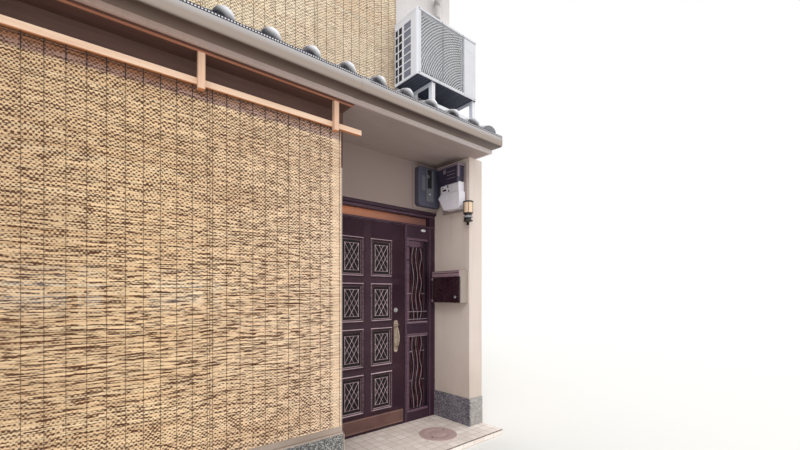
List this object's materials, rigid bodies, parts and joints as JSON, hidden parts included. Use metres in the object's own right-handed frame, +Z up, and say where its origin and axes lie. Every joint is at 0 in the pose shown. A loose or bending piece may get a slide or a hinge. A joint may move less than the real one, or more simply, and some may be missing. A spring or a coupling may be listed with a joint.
{
  "type": "machiya townhouse",
  "caption": "Two-storey row townhouse with reed screens over its windows, a tiled pent roof, a recessed entrance with a carved door, and plain party walls.",
  "frame": {"origin": "on the ground, at the middle of the house's box", "axes": "+X along the street to the right, +Y into the plot away from the street, +Z up"},
  "size_m": [4.8, 8.776, 7.1364],
  "materials": {
    "concrete": "matte",
    "porch_tile": "matte",
    "plaster": "matte",
    "pebble_dash": "rough",
    "floor_wood": "satin",
    "soffit_board": "matte",
    "fascia_board": "matte",
    "roof_board": "matte",
    "roof_tile": "satin",
    "flashing": "satin",
    "gutter_plastic": "satin",
    "door_metal": "satin",
    "hinge_steel": "satin",
    "handle_brass": "satin",
    "amber_glass": "obscured",
    "iron": "satin",
    "window_metal": "satin",
    "window_glass": "clear",
    "pine": "matte",
    "reed": "matte",
    "unit_white": "satin",
    "stand_steel": "satin",
    "mailbox_metal": "satin",
    "mailbox_door": "gloss",
    "box_plastic": "satin",
    "meter_plastic": "satin",
    "lamp_glass": "opal",
    "lamp_metal": "satin",
    "drain_iron": "matte",
    "head_wood": "satin"
  },
  "bodies": {
    "house": {"ground_floor": "concrete", "porch_step": "porch_tile", "drain_cover": "drain_iron", "bay_head_board": "head_wood", "party_wall_left": "plaster", "party_wall_right": "plaster", "base_course": "pebble_dash", "front_bay_wall": "plaster", "entrance_side_wall": "plaster", "door_head_wall": "plaster", "upper_front_wall": "plaster", "back_wall_lower": "plaster", "back_wall_upper": "plaster", "upper_floor": "floor_wood", "pent_soffit": "soffit_board", "pent_fascia": "fascia_board", "pent_deck": "roof_board", "pent_tiles": "roof_tile", "pent_flashing": "flashing", "pent_gutter": "gutter_plastic", "main_rafters": "roof_board", "main_deck": "roof_board", "main_tiles_front": "roof_tile", "main_tiles_back": "roof_tile", "ridge_tiles": "roof_tile", "gutter_front": "gutter_plastic", "gutter_back": "gutter_plastic", "downpipes": "gutter_plastic", "door_frame": "door_metal", "door_hinges": "hinge_steel", "transom_glass": "amber_glass", "sidelight_grille": "iron", "sidelight_glass": "amber_glass", "bay_window": "window_metal", "bay_glass": "window_glass", "upper_window": "window_metal", "upper_glass": "window_glass", "back_windows": "window_metal", "back_glass": "window_glass", "screen_frame": "pine", "lower_screens_reed": "reed", "upper_screen_rail": "pine", "upper_screens_reed": "reed", "outdoor_unit": "unit_white", "unit_grille": "unit_white", "outdoor_stand": "stand_steel", "mailbox_body": "mailbox_metal", "breaker_box": "box_plastic", "electric_meter": "meter_plastic", "wall_lamp": "lamp_metal", "lamp_glass": "lamp_glass"},
    "entrance_door": {"door_leaf": "door_metal", "door_handle": "handle_brass"},
    "letter_box_door": {"mailbox_door": "mailbox_door"}
  },
  "joints": [
    {"name": "entrance_hinge", "type": "hinge", "parent": "house", "child": "entrance_door", "pos_m": [0.8745, -3.603, 1.053], "axis": [0, 0, -1], "range_deg": [0, 90]},
    {"name": "letter_box_hinge", "type": "hinge", "parent": "house", "child": "letter_box_door", "pos_m": [2.087, -3.68, 1.39], "axis": [0, 0, -1], "range_deg": [0, 90]}
  ]
}
